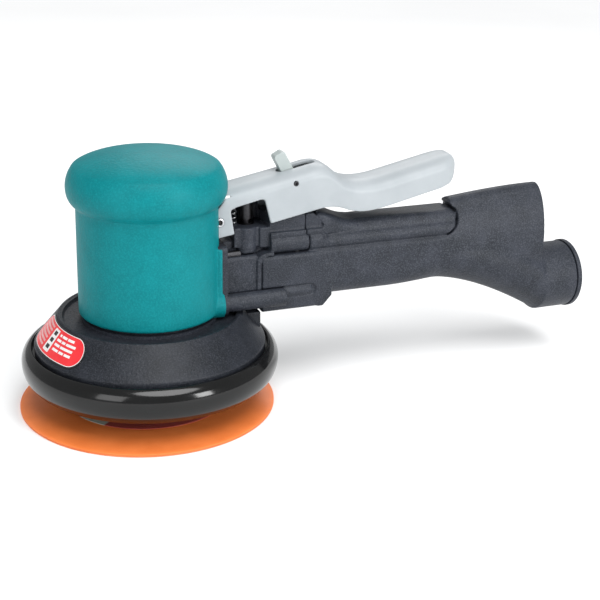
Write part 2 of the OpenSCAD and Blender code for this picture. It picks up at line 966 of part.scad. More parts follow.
pad_face();
pad_body();
pad_label();
pad_hub_plate();
pad_rivets();
pad_stud();
pad_spindle();
spindle_bearing_inner_rings();
spindle_ball_sets();
spindle_bearing_outer_rings();
bearing_spacer();
dust_shield();
spindle_snap_ring();
spindle_washer();
spindle_screw();
balancer_shaft();
lock_ring();
lower_end_plate();
upper_end_plate();
motor_cylinder();
locating_pin();
rotor();
rotor_key();
rotor_vanes();
motor_bearing_inner_rings();
motor_ball_sets();
motor_bearing_outer_rings();
preload_washer();
motor_housing();
grip_cover();
shroud();
shroud_label();
overskirt_ring();
handle_gasket();
handle_screws();
handle_body();
grip_screws();
exhaust_tube();
muffler_felt();
exhaust_cap();
inlet_bushing();
inlet_screen();
valve_housing();
stem_bushing();
stem_seal();
valve_seat();
valve_stem();
valve_spring();
valve_plug();
lever_spring();
lever_pin();
throttle_lever();
lock_pin();
lock_tab();
lock_spring();
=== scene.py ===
import json
import math

import bmesh
import bpy
from mathutils import Matrix, Vector


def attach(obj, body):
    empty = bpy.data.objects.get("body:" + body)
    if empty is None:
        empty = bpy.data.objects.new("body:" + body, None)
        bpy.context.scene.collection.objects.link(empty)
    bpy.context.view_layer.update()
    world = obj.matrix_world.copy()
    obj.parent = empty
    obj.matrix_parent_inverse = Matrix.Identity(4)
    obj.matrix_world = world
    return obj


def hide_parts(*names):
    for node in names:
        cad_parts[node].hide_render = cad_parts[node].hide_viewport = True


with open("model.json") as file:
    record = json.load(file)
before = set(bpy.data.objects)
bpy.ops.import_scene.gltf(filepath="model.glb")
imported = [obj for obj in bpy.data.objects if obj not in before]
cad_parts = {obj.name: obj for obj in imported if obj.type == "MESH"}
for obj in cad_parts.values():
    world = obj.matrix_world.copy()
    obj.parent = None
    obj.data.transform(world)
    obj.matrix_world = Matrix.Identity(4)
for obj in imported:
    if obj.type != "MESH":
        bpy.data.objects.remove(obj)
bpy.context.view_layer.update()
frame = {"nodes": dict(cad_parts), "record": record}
nodes = frame["nodes"]
scene = bpy.context.scene

MM = 0.001

# Places that several pieces share, in millimetres in the object's own frame.
PIVOT = (38.8, 112.3)           # lever pin: x, z
LOCK = (85.8, 131.4)            # pin of the safety tab: x, z
SIDE_TUBE = (-17.0, 63.0, 5.4)  # side exhaust tube: y, z, radius
STEM_X = 59.5                   # axis of the valve stem, in the middle plane
CHAMBER_Z = 49.8                # axis of the exhaust chamber at the handle's rear end
RIDGE_TOP = 104.2               # top of the ridge along the grip
TOOL_END = 284                  # rear face of the exhaust cap
ORBIT = 2.4                     # how far the pad's axis lies off the head's axis


# ---- shapes, in millimetres --------------------------------------------------------------

def add_object(name, mesh):
    """Places a mesh in the scene at the frame's origin."""
    obj = bpy.data.objects.new(name, mesh)
    scene.collection.objects.link(obj)
    return obj


def build(name, points, faces):
    """Object from points in millimetres, with doubled points merged."""
    mesh = bpy.data.meshes.new(name)
    mesh.from_pydata([Vector(p) * MM for p in points], [], faces)
    bm = bmesh.new()
    bm.from_mesh(mesh)
    bmesh.ops.remove_doubles(bm, verts=bm.verts, dist=1e-7)
    bmesh.ops.recalc_face_normals(bm, faces=bm.faces)
    bm.to_mesh(mesh)
    bm.free()
    return add_object(name, mesh)


def curve(a, b, c, d, count=8):
    """Points of a cubic curve through a and d, pulled by b and c."""
    points = []
    for i in range(count + 1):
        t = i / count
        s = 1 - t
        weights = (s ** 3, 3 * s * s * t, 3 * s * t * t, t ** 3)
        points.append(tuple(sum(w * p[k] for w, p in zip(weights, (a, b, c, d))) for k in range(2)))
    return points


def arc(centre, radius, start, end, count=8):
    """Points on an arc; radius may be one number or (across, up)."""
    rx, ry = radius if isinstance(radius, tuple) else (radius, radius)
    angles = [math.radians(start + (end - start) * i / count) for i in range(count + 1)]
    return [(centre[0] + rx * math.cos(a), centre[1] + ry * math.sin(a)) for a in angles]


def lathe(name, outline, steps=144, centre=(0, 0), along="z"):
    """Turned solid from a closed outline of (radius, height)."""
    points = []
    for i in range(steps):
        a = 2 * math.pi * i / steps
        for r, h in outline:
            if along == "z":
                points.append((centre[0] + r * math.cos(a), centre[1] + r * math.sin(a), h))
            else:
                points.append((h, centre[0] + r * math.cos(a), centre[1] + r * math.sin(a)))
    n = len(outline)
    faces = []
    for i in range(steps):
        j = (i + 1) % steps
        for k in range(n):
            m = (k + 1) % n
            if outline[k][0] <= 0 and outline[m][0] <= 0:
                continue
            faces.append((i * n + k, j * n + k, j * n + m, i * n + m))
    obj = build(name, points, faces)
    dissolve_slivers(obj)
    return obj


def dissolve_slivers(obj):
    """Removes the faces without area that a lathe leaves on its axis."""
    bm = bmesh.new()
    bm.from_mesh(obj.data)
    bmesh.ops.dissolve_degenerate(bm, edges=bm.edges, dist=1e-7)
    bm.to_mesh(obj.data)
    bm.free()


def loft(name, rings):
    """Closed solid through rings that have the same number of points."""
    n = len(rings[0])
    points = [p for ring in rings for p in ring]
    faces = [tuple(range(n)), tuple((len(rings) - 1) * n + i for i in reversed(range(n)))]
    for j in range(len(rings) - 1):
        for i in range(n):
            k = (i + 1) % n
            faces.append((j * n + i, j * n + k, (j + 1) * n + k, (j + 1) * n + i))
    return build(name, points, faces)


def bar_x(name, section, x0, x1):
    """Straight bar along X from a section of (y, z)."""
    return loft(name, [[(x, y, z) for y, z in section] for x in (x0, x1)])


def bar_y(name, outline, half):
    """Plate across Y from an outline of (x, z), half as thick on each side of the middle."""
    return loft(name, [[(x, y, z) for x, z in outline] for y in (-half, half)])


def rod(name, radius, start, end, steps=48):
    """Round bar between two points."""
    a, b = Vector(start), Vector(end)
    turn = (b - a).to_track_quat("Z", "Y")
    ring = [turn @ Vector((radius * math.cos(t), radius * math.sin(t), 0))
            for t in (2 * math.pi * i / steps for i in range(steps))]
    return loft(name, [[tuple(a + v) for v in ring], [tuple(b + v) for v in ring]])


def rounded(y0, y1, z0, z1, r, steps=6):
    """Rectangle with round corners; r is one radius or (bottom, top)."""
    low, high = r if isinstance(r, tuple) else (r, r)
    return (arc((y1 - low, z0 + low), low, -90, 0, steps)
            + arc((y1 - high, z1 - high), high, 0, 90, steps)
            + arc((y0 + high, z1 - high), high, 90, 180, steps)
            + arc((y0 + low, z0 + low), low, 180, 270, steps))


def box(name, low, high):
    """Block between two opposite corners."""
    return bar_x(name, [(low[1], low[2]), (high[1], low[2]), (high[1], high[2]), (low[1], high[2])],
                 low[0], high[0])


# ---- mesh work ---------------------------------------------------------------------------

def settle(obj):
    """Applies the object's modifiers."""
    graph = bpy.context.evaluated_depsgraph_get()
    mesh = bpy.data.meshes.new_from_object(obj.evaluated_get(graph))
    old = obj.data
    obj.modifiers.clear()
    obj.data = mesh
    bpy.data.meshes.remove(old)
    return obj


def boolean(obj, tools, mode="DIFFERENCE"):
    """Applies the tools to the object and leaves the tools in place."""
    for tool in tools:
        step = obj.modifiers.new("cut", "BOOLEAN")
        step.operation = mode
        step.object = tool
        step.solver = "EXACT"
    return settle(obj)


def carve(parts, tools):
    """Cuts every tool out of every part, then removes the tools."""
    for part in parts:
        boolean(part, tools)
    discard(tools)


def keep(part, tool):
    """Keeps what lies inside the tool, then removes the tool."""
    boolean(part, [tool], "INTERSECT")
    discard([tool])


def discard(objects):
    """Removes helper objects together with their meshes."""
    for obj in objects:
        mesh = obj.data
        bpy.data.objects.remove(obj)
        bpy.data.meshes.remove(mesh)


def fuse(name, parts, voxel, rounds=3):
    """One moulded skin over overlapping closed parts, with softened edges."""
    bm = bmesh.new()
    for part in parts:
        bm.from_mesh(part.data)
    mesh = bpy.data.meshes.new(name)
    bm.to_mesh(mesh)
    bm.free()
    discard(parts)
    obj = add_object(name, mesh)
    skin = obj.modifiers.new("skin", "REMESH")
    skin.mode = "VOXEL"
    skin.voxel_size = voxel * MM
    soft = obj.modifiers.new("soft", "SMOOTH")
    soft.factor = 0.5
    soft.iterations = rounds
    settle(obj)
    return smooth(obj, 180)


def smooth(obj, angle=35):
    """Smooth shading with edges sharper than the angle kept crisp."""
    bm = bmesh.new()
    bm.from_mesh(obj.data)
    limit = math.radians(angle)
    for face in bm.faces:
        face.smooth = True
    for edge in bm.edges:
        edge.smooth = not edge.is_manifold or edge.calc_face_angle(0) < limit
    bm.to_mesh(obj.data)
    bm.free()
    return obj


def bevel(obj, width, segments=2):
    """Rounds the sharp edges; width in millimetres."""
    step = obj.modifiers.new("bevel", "BEVEL")
    step.width = width * MM
    step.segments = segments
    step.limit_method = "ANGLE"
    step.angle_limit = math.radians(35)
    settle(obj)
    smooth(obj, 40)


def finish(obj, material, body, node):
    """Dresses a piece, hangs it on the body that carries it, and hides the CAD node that it stands for."""
    obj.data.materials.clear()
    obj.data.materials.append(MATERIALS[material])
    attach(obj, body)
    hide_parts(node)


# ---- materials ---------------------------------------------------------------------------

class Shader:
    """A Principled material with small helpers for its procedural nodes."""

    def __init__(self, name, rough=0.5, metal=0.0, specular=0.5, coat=0.0):
        self.material = bpy.data.materials.new(name)
        self.material.use_nodes = True
        self.tree = self.material.node_tree
        self.bsdf = self.tree.nodes["Principled BSDF"]
        self.bsdf.inputs["Roughness"].default_value = rough
        self.bsdf.inputs["Metallic"].default_value = metal
        self.bsdf.inputs["Specular IOR Level"].default_value = specular
        self.bsdf.inputs["Coat Weight"].default_value = coat
        self.where = self.tree.nodes.new("ShaderNodeTexCoord").outputs["Object"]

    def link(self, source, target):
        self.tree.links.new(source, target)

    def noise(self, size_mm, detail=3, rough=0.55, squeeze=None):
        """Soft noise with features of the given size; squeeze scales its axes."""
        node = self.tree.nodes.new("ShaderNodeTexNoise")
        node.inputs["Scale"].default_value = 1 / (size_mm * MM)
        node.inputs["Detail"].default_value = detail
        node.inputs["Roughness"].default_value = rough
        where = self.where
        if squeeze:
            mapping = self.tree.nodes.new("ShaderNodeMapping")
            mapping.inputs["Scale"].default_value = squeeze
            self.link(where, mapping.inputs["Vector"])
            where = mapping.outputs["Vector"]
        self.link(where, node.inputs["Vector"])
        return node.outputs["Fac"]

    def pebbles(self, size_mm):
        """Rounded cells of the given size, as in grained plastic."""
        node = self.tree.nodes.new("ShaderNodeTexVoronoi")
        node.feature = "SMOOTH_F1"
        node.inputs["Scale"].default_value = 1 / (size_mm * MM)
        self.link(self.where, node.inputs["Vector"])
        return node.outputs["Distance"]

    def ramp(self, factor, stops):
        """Colour ramp through stops of (place, colour)."""
        node = self.tree.nodes.new("ShaderNodeValToRGB")
        while len(node.color_ramp.elements) < len(stops):
            node.color_ramp.elements.new(0.5)
        for element, (place, color) in zip(node.color_ramp.elements, stops):
            element.position = place
            element.color = (*color, 1)
        self.link(factor, node.inputs["Fac"])
        return node.outputs["Color"]

    def mix(self, factor, low, high):
        """Blend of two colours; each argument is a value or a socket."""
        node = self.tree.nodes.new("ShaderNodeMix")
        node.data_type = "RGBA"
        for value, socket in ((factor, node.inputs[0]), (low, node.inputs[6]), (high, node.inputs[7])):
            if isinstance(value, bpy.types.NodeSocket):
                self.link(value, socket)
            elif isinstance(value, (int, float)):
                socket.default_value = value
            else:
                socket.default_value = (*value, 1)
        return node.outputs[2]

    def math(self, kind, a, b):
        node = self.tree.nodes.new("ShaderNodeMath")
        node.operation = kind
        for value, socket in ((a, node.inputs[0]), (b, node.inputs[1])):
            if isinstance(value, bpy.types.NodeSocket):
                self.link(value, socket)
            else:
                socket.default_value = value
        return node.outputs[0]

    def color(self, source):
        self.link(source, self.bsdf.inputs["Base Color"])

    def roughness(self, factor, low, high):
        """Lets the roughness drift between two values."""
        node = self.tree.nodes.new("ShaderNodeMapRange")
        node.inputs["To Min"].default_value = low
        node.inputs["To Max"].default_value = high
        self.link(factor, node.inputs["Value"])
        self.link(node.outputs["Result"], self.bsdf.inputs["Roughness"])

    def bump(self, heights):
        """Chain of (height, strength, depth in mm)."""
        normal = None
        for height, strength, depth in heights:
            node = self.tree.nodes.new("ShaderNodeBump")
            node.inputs["Strength"].default_value = strength
            node.inputs["Distance"].default_value = depth * MM
            self.link(height, node.inputs["Height"])
            if normal:
                self.link(normal, node.inputs["Normal"])
            normal = node.outputs["Normal"]
        self.link(normal, self.bsdf.inputs["Normal"])


def plain(name, low, high, rough, patch_mm=9, grain_mm=0.6, depth=0.02, coat=0.0):
    """Even finish with slow colour drift and a fine grain."""
    s = Shader(name, rough, coat=coat)
    s.color(s.ramp(s.noise(patch_mm), [(0.35, low), (0.65, high)]))
    grain = s.noise(grain_mm, 2)
    s.roughness(s.noise(patch_mm * 0.4, 4), max(rough - 0.08, 0.02), min(rough + 0.08, 1))
    s.bump([(grain, 0.5, depth)])
    return s.material


def teal_grip():
    """Grained rubber with lighter specks of painted sheen, for light caught by the raised grain."""
    s = Shader("teal_grip", 0.5, 0, 0.14)
    drift = s.ramp(s.noise(14, 3), [(0.3, (0.0, 0.168, 0.188)), (0.7, (0.001, 0.200, 0.222))])
    # Lighter specks are painted sheen for light caught by the grain, not a colour of the rubber.
    painted_sheen_speck = s.noise(1.0, 3, 0.6)
    s.color(s.mix(s.ramp(painted_sheen_speck, [(0.45, (0, 0, 0)), (0.70, (0.34, 0.34, 0.34))]), drift, (0.01, 0.33, 0.34)))
    s.roughness(painted_sheen_speck, 0.40, 0.58)
    s.bump([(s.pebbles(1.7), 0.55, 0.22), (s.noise(0.6, 2), 0.4, 0.10)])
    return s.material


def black_moulding(name, lift):
    """Grained black plastic with lighter specks of painted sheen in its grain; lift scales how light its
    colours are.
    """
    s = Shader(name, 0.45, 0, 0.24)
    low, high, painted_sheen_color = [tuple(c * lift for c in color)
                       for color in ((0.013, 0.016, 0.022), (0.027, 0.031, 0.042), (0.13, 0.14, 0.165))]
    drift = s.ramp(s.noise(11, 3), [(0.3, low), (0.7, high)])
    grain = s.noise(0.7, 3, 0.65)
    # Lighter specks in the grain are painted sheen, standing in for light caught by the raised grain.
    painted_sheen = s.ramp(grain, [(0.47, (0, 0, 0)), (0.68, (0.36, 0.36, 0.36))])
    s.color(s.mix(painted_sheen, drift, painted_sheen_color))
    s.roughness(grain, 0.36, 0.56)
    s.bump([(s.pebbles(1.4), 0.7, 0.22), (s.noise(0.5, 2), 0.55, 0.12)])
    return s.material


def gloss_black():
    """Polished black rubber with a slow waviness."""
    s = Shader("gloss_black", 0.12, 0, 0.45)
    s.color(s.ramp(s.noise(20), [(0.3, (0.003, 0.003, 0.003)), (0.7, (0.006, 0.006, 0.006))]))
    s.roughness(s.noise(4, 4), 0.09, 0.17)
    s.bump([(s.noise(6, 2), 0.10, 0.08), (s.noise(0.8, 2), 0.08, 0.02)])
    return s.material


def orange_pad():
    """Moulded orange foam skin with uneven gloss."""
    s = Shader("orange_pad", 0.42, 0, 0.45)
    s.color(s.ramp(s.noise(16, 4), [(0.3, (0.82, 0.195, 0.042)), (0.7, (0.92, 0.24, 0.06))]))
    s.roughness(s.noise(2.5, 3), 0.34, 0.5)
    s.bump([(s.noise(1.2, 3), 0.25, 0.05)])
    return s.material


def lever_paint(name, low, high):
    """Satin paint with a faint unevenness."""
    s = Shader(name, 0.42, 0, 0.35)
    s.color(s.ramp(s.noise(18, 3), [(0.3, low), (0.7, high)]))
    s.roughness(s.noise(3, 3), 0.32, 0.46)
    s.bump([(s.noise(2.2, 3), 0.10, 0.05), (s.noise(0.4, 2), 0.15, 0.02)])
    return s.material


def steel(name, low, high, rough):
    """Turned metal: fine rings of drift, stretched along one axis."""
    s = Shader(name, rough, 1.0)
    brushed = s.noise(1.2, 4, 0.6, (1, 1, 9))
    s.color(s.ramp(brushed, [(0.3, low), (0.7, high)]))
    s.roughness(brushed, max(rough - 0.07, 0.03), rough + 0.08)
    s.bump([(brushed, 0.15, 0.02)])
    return s.material


def printed_ring():
    """Label on top of the pad: sectors of black, grey-green and dark red with a fine grain."""
    s = Shader("label_ring", 0.45)
    split = s.tree.nodes.new("ShaderNodeSeparateXYZ")
    s.link(s.where, split.inputs["Vector"])
    angle = s.math("ARCTAN2", split.outputs["Y"], split.outputs["X"])
    turn = s.math("ADD", s.math("DIVIDE", angle, 2 * math.pi), 0.5)
    black = (0.008, 0.008, 0.008)
    pale = (0.50, 0.52, 0.44)
    red = (0.42, 0.03, 0.02)
    sectors = s.ramp(turn, [
        (0.00, black), (0.06, black), (0.062, pale), (0.118, pale), (0.12, red), (0.37, red),
        (0.372, pale), (0.62, pale), (0.622, red), (0.94, red), (0.942, black),
    ])
    s.color(s.mix(s.math("MULTIPLY", s.noise(0.8, 3), 0.12), sectors, (0.7, 0.7, 0.66)))
    s.roughness(s.noise(2), 0.38, 0.55)
    s.bump([(s.noise(0.5), 0.2, 0.02)])
    return s.material


def woven(name, low, high, pitch_mm, rough):
    """Cloth-backed laminate or felt: two crossing waves over a drift."""
    s = Shader(name, rough)
    waves = []
    for direction in ("X", "Y"):
        wave = s.tree.nodes.new("ShaderNodeTexWave")
        wave.bands_direction = direction
        wave.inputs["Scale"].default_value = 0.3 / (pitch_mm * MM)
        wave.inputs["Distortion"].default_value = 1.5
        s.link(s.where, wave.inputs["Vector"])
        waves.append(wave.outputs["Fac"])
    weave = s.math("MAXIMUM", waves[0], waves[1])
    s.color(s.mix(weave, low, high))
    s.roughness(s.noise(2), rough - 0.08, min(rough + 0.08, 1))
    s.bump([(weave, 0.4, 0.1)])
    return s.material


MATERIALS = {
    "teal_grip": teal_grip(),
    "black_moulding": black_moulding("black_moulding", 1.0),
    # Darker copy of the black moulding for the shroud: painted shade on its upward slope.
    "shroud_black_painted_shade": black_moulding("shroud_black_painted_shade", 0.62),
    "gloss_black": gloss_black(),
    "orange_pad": orange_pad(),
    "pad_face_vinyl": plain("pad_face_vinyl", (0.74, 0.17, 0.04), (0.84, 0.22, 0.06), 0.5, 12, 1.2, 0.05),
    "label_ring": printed_ring(),
    "red_label": plain("red_label", (0.74, 0.02, 0.03), (0.82, 0.035, 0.04), 0.34, 14, 0.8, 0.01, 0.2),
    "ink_black": plain("ink_black", (0.010, 0.010, 0.010), (0.02, 0.02, 0.02), 0.3),
    "ink_white": plain("ink_white", (0.74, 0.73, 0.72), (0.84, 0.83, 0.82), 0.4),
    "ink_pink": plain("ink_pink", (0.70, 0.33, 0.33), (0.80, 0.45, 0.44), 0.4),
    "lever_grey": lever_paint("lever_grey", (0.355, 0.385, 0.405), (0.395, 0.425, 0.445)),
    "tab_white": lever_paint("tab_white", (0.385, 0.43, 0.425), (0.425, 0.47, 0.46)),
    "steel": steel("steel", (0.42, 0.43, 0.45), (0.62, 0.63, 0.65), 0.28),
    "dark_steel": steel("dark_steel", (0.03, 0.03, 0.033), (0.075, 0.075, 0.08), 0.4),
    "bearing_steel": steel("bearing_steel", (0.60, 0.61, 0.63), (0.74, 0.75, 0.77), 0.16),
    "cast_alloy": steel("cast_alloy", (0.40, 0.41, 0.43), (0.58, 0.59, 0.61), 0.36),
    "brass": steel("brass", (0.55, 0.38, 0.13), (0.74, 0.54, 0.22), 0.27),
    "phenolic": woven("phenolic", (0.10, 0.04, 0.015), (0.24, 0.11, 0.04), 0.5, 0.5),
    "glass_fibre_plate": woven("glass_fibre_plate", (0.30, 0.28, 0.16), (0.52, 0.49, 0.32), 0.7, 0.45),
    "seal_rubber": plain("seal_rubber", (0.012, 0.012, 0.012), (0.028, 0.028, 0.028), 0.7),
    "felt": woven("felt", (0.36, 0.34, 0.31), (0.56, 0.54, 0.50), 0.8, 0.9),
}


def dress_cad():
    """Gives every CAD part the material of its slot."""
    slots = {part["node"]: part["material_slot"] for part in frame["record"]["subparts"]}
    for name, obj in nodes.items():
        obj.data.materials.clear()
        obj.data.materials.append(MATERIALS[slots[name]])
    # The lock pin and the handle screws are blackened steel; the valve stem gets the same dark steel as
    # painted shade, down in the lever's notch.
    for name in ("valve_stem", "lock_pin", "handle_screws"):
        nodes[name].data.materials[0] = MATERIALS["dark_steel"]


# ---- head --------------------------------------------------------------------------------

def dome_outline():
    """Outer line of the grip cover from its bottom edge to the top of the dome."""
    return ([(40.6, 59.2), (41.1, 59.35), (41.5, 60.0), (41.25, 95), (41.0, 123.2), (41.15, 123.9)]
            + curve((42.0, 124.6), (47.0, 127.5), (48.4, 138.5), (42.0, 146.4), 20)
            + curve((42.0, 146.4), (35.0, 151.5), (18.0, 154.5), (0, 155), 20)[1:])


def grip_cover():
    """Domed cover with a hood over the side tube and a lip along each side of the handle's foot."""
    inner = [(0, 151), (17, 149.9), (30, 147.3), (38.2, 142.8), (42.2, 138), (42.6, 134), (37.3, 127),
             (37.3, 59.2)]
    shell = lathe("grip_shell", dome_outline() + inner, 240)
    y, z, _ = SIDE_TUBE
    hood = rod("hood", 8.6, (30.5, y, z + 0.5), (39.4, y, z + 0.5))
    lips = [rod("lip", 1.5, (36.5, side * 22.3, 60.5), (36.5, side * 22.3, 98.5), 24) for side in (-1, 1)]
    parts = [shell, hood, *lips]
    # The hood stays outside the motor housing. The side tube, the casting at the handle's
    # front and the front of the lever each have their room in the wall.
    core = lathe("core", [(0, 40), (37.3, 40), (37.3, 110), (0, 110)], 180)
    boss = rod("boss_room", 7.3, (20, y, z), (60, y, z))
    notch = box("notch", (20, -21.4, 50), (80, 21.4, 98.9))
    relief = box("relief", (33.9, -15.9, 98), (80, 15.9, 124.3))
    floor_cut = box("floor_cut", (-80, -80, 30), (80, 80, 55.6))
    boolean(hood, [core])
    carve(parts, [boss, notch, relief, floor_cut])
    discard([core])
    cover = fuse("grip_cover_shell", parts, 0.75)
    finish(cover, "teal_grip", "root", "grip_cover")


def shroud_outline():
    """Section of the shroud: collar, slope down to the rim, and back up the inside."""
    return ([(40.05, 50.5), (50, 50.5), (51.8, 54), (65.4, 38.5), (65.4, 33), (68, 33), (68.2, 39.2)]
            + arc((66.7, 40.0), 1.5, 0, 50, 6)
            + arc((53.2, 57.2), 0.9, 40, 140, 6)
            + [(51.3, 57.2), (50.7, 55.5), (50.2, 55.05), (40.05, 55)])


def shroud():
    """Cone under the head, flat where the handle passes over it, with the web behind it."""
    bowl = lathe("shroud_bowl", shroud_outline(), 240)
    web = bar_y("shroud_web", [(54.2, 53.4), (62.4, 42.9), (64.8, 42.9), (64.8, 53.4)], 13)
    flat = box("flat", (36, -24, 56.5), (80, 18, 70))
    carve([bowl], [flat])
    smooth(bowl, 30)
    bevel(web, 0.6, 3)
    # The shroud wears the darker copy of the black moulding, as painted shade.
    finish(bowl, "shroud_black_painted_shade", "root", "shroud")
    finish(web, "shroud_black_painted_shade", "root", "shroud")


def overskirt_ring():
    """Skirt with an upright glossy face, a tight top edge and a rounded foot."""
    face = (curve((67.1, 16.4), (72.4, 17.6), (76.0, 22.8), (76.0, 29.8), 14)
            + curve((76.0, 29.8), (76.0, 34.2), (73.6, 37.2), (71.3, 38.5), 12)[1:])
    top_edge = curve((71.3, 38.5), (70.4, 39.0), (69.7, 38.7), (69.6, 37.7), 5)[1:]
    snap_rib = [(70.6, 36.0), (70.6, 35.9), (68.06, 35.9), (68.06, 34.2), (71.6, 34.2)]
    inside = (curve((71.6, 34.2), (72.8, 32.5), (73.0, 31), (73.0, 29.8), 6)[1:]
              + curve((73.0, 29.8), (73.0, 23.0), (71.0, 19.2), (67.1, 18.2), 8)[1:])
    ring = lathe("overskirt_skin", face + top_edge + snap_rib + inside, 260)
    smooth(ring, 50)
    finish(ring, "gloss_black", "root", "overskirt_ring")


def pad():
    """Cushion that thins towards its edge, and the sole under it, on the pad's own axis."""
    axis = (-ORBIT, 0)
    edge = [(0, 1.0), (75.7, 1.0), (75.95, 1.25), (75.9, 1.7)]
    top = curve((75.6, 1.9), (68, 2.4), (58, 3.6), (50.2, 4.3), 10) + [(49.6, 4.3), (0, 4.3)]
    body = lathe("pad_cushion", edge + top, 260, axis)
    smooth(body, 40)
    finish(body, "orange_pad", "pad", "pad_body")
    sole = [(0, 0), (75.6, 0), (75.98, 0.35), (75.98, 0.8), (75.8, 1.0), (0, 1.0)]
    face = lathe("pad_sole", sole, 260, axis)
    smooth(face, 50)
    finish(face, "pad_face_vinyl", "pad", "pad_face")


# ---- label plate on the shroud -----------------------------------------------------------

LABEL_MID_R = 60.75                 # radius at which distances round the slope are true
LABEL_MIDDLE = math.radians(188.8)  # direction of the label's middle from the head's axis


def on_slope(u, v, lift):
    """Point on the shroud's slope: u mm round it, v mm down it, lift mm above it."""
    top, foot = Vector((53.9, 57.9)), Vector((67.75, 41.2))
    down = (foot - top).normalized()
    out = Vector((-down.y, down.x))
    r, z = top + down * v + out * lift
    a = LABEL_MIDDLE + u / LABEL_MID_R
    return (r * math.cos(a), r * math.sin(a), z)


def slope_plate(name, u0, u1, v0, v1, low, high, radius, material="red_label"):
    """Thin plate that follows the slope from lift low to lift high, with round corners."""
    columns = sorted({u0, u1, *[u0 + (u1 - u0) * i / 24 for i in range(25)],
                      *[u0 + radius * (1 - math.cos(math.pi / 2 * i / 8)) for i in range(9)],
                      *[u1 - radius * (1 - math.cos(math.pi / 2 * i / 8)) for i in range(9)]})
    rows = 4
    points = []
    for u in columns:
        edge = max(0.0, radius - min(u - u0, u1 - u))
        inset = radius - math.sqrt(max(radius * radius - edge * edge, 0.0))
        inset = min(inset, (v1 - v0) / 2 - 0.02)
        for lift in (low, high):
            for k in range(rows + 1):
                v = v0 + inset + (v1 - v0 - 2 * inset) * k / rows
                points.append(on_slope(u, v, lift))
    n = 2 * (rows + 1)
    loop = list(range(rows + 1)) + [rows + 1 + k for k in reversed(range(rows + 1))]
    faces = []
    for c in range(len(columns) - 1):
        for k in range(len(loop)):
            m = (k + 1) % len(loop)
            faces.append((c * n + loop[k], c * n + loop[m], (c + 1) * n + loop[m], (c + 1) * n + loop[k]))
    for c in (0, len(columns) - 1):
        for k in range(rows):
            faces.append((c * n + k, c * n + k + 1, c * n + rows + 2 + k, c * n + rows + 1 + k))
    plate = build(name, points, faces)
    smooth(plate, 50)
    finish(plate, material, "root", "shroud_label")


def label():
    """Red plate with a black rim, a white line, a panel of marks, and bars in place of words."""
    slope_plate("label_rim", -31, 31, 1.0, 20.4, 0.0, 0.22, 9.3, "ink_black")
    slope_plate("label_line", -30.1, 30.1, 1.9, 19.5, 0.2, 0.27, 8.5, "ink_white")
    slope_plate("label_field", -29.7, 29.7, 2.3, 19.1, 0.25, 0.32, 8.1)
    slope_plate("label_panel", -4.5, 2.6, 3.4, 17.6, 0.3, 0.37, 0.8, "ink_white")
    for k in range(3):
        slope_plate(f"label_mark_{k}", -2.9, 1.0, 4.7 + 4.3 * k, 7.2 + 4.3 * k, 0.35, 0.42, 0.2, "ink_black")
    bars = [
        (4.4, [(5, 7), (8, 13), (14, 20)]),
        (7.3, [(4.5, 9), (10, 13.5), (14.5, 23)]),
        (10.2, [(4.5, 10), (11, 22)]),
        (13.1, [(5, 11), (12, 16), (17, 22)]),
    ]
    for row, (v, spans) in enumerate(bars):
        for k, (a, b) in enumerate(spans):
            slope_plate(f"label_bar_{row}_{k}", a, b, v, v + 1.5, 0.3, 0.36, 0.1, "ink_white")
    for k in range(6):
        slope_plate(f"label_row_{k}", -24, -7.5, 3.6 + 2.4 * k, 4.9 + 2.4 * k, 0.3, 0.35, 0.1, "ink_pink")


# ---- handle ------------------------------------------------------------------------------

def grip_shapes():
    """Lower grip, the tube on top of it, and the ridge with its flared front."""
    rings = []
    for x in (101, 150, 158, 164, 169, 173, 177, 181, 186, 190):
        foot = 10.5 + 5.6 * min(1, max(0, (x - 150) / 30)) ** 1.5
        rings.append([(x, y, z) for y, z in rounded(-16.3, 16.3, 58.6, 89.3, (foot, 2.0), 10)])
    body = loft("grip_lower", rings)
    tube = bar_x("grip_tube", rounded(-16, 16, 89.1, 98, 4.4, 8), 96, 196)
    ridge = bar_x("grip_ridge", rounded(-12.6, 12.6, 90, RIDGE_TOP, 6.7, 12), 110, 196)
    bullet = ([(90, 80), (178, 80), (181, 89)]
              + curve((183.5, 89.6), (188.5, 91), (193.6, 96), (193.6, 100.4))
              + curve((193.6, 100.4), (193.6, 103.5), (191.5, 106), (187, 107)) + [(90, 125)])
    for part in (tube, ridge):
        keep(part, bar_y("bullet", bullet, 30))
    spine = box("grip_spine", (180, -9, 86), (200, 9, 102))
    return [body, tube, ridge, bell(), spine]


def bell():
    """Flared front of the ridge, rising towards the deck under the lever."""
    rings = []
    for i in range(17):
        t = i / 16
        ease = t * t * (3 - 2 * t)
        x = 99.2 + 27 * t
        half = 14.5 - 1.9 * ease
        top = 112.0 - (112.0 - RIDGE_TOP) * ease
        rings.append([(x, y, z) for y, z in rounded(-half, half, 98, top, (1.5, 5.6), 8)])
    front = [(90, 90), (103.8, 90), (103.8, 104.8), (99.0, 114), (90, 114)]
    part = loft("ridge_bell", rings)
    carve([part], [bar_y("bell_front", front, 30)])
    return part


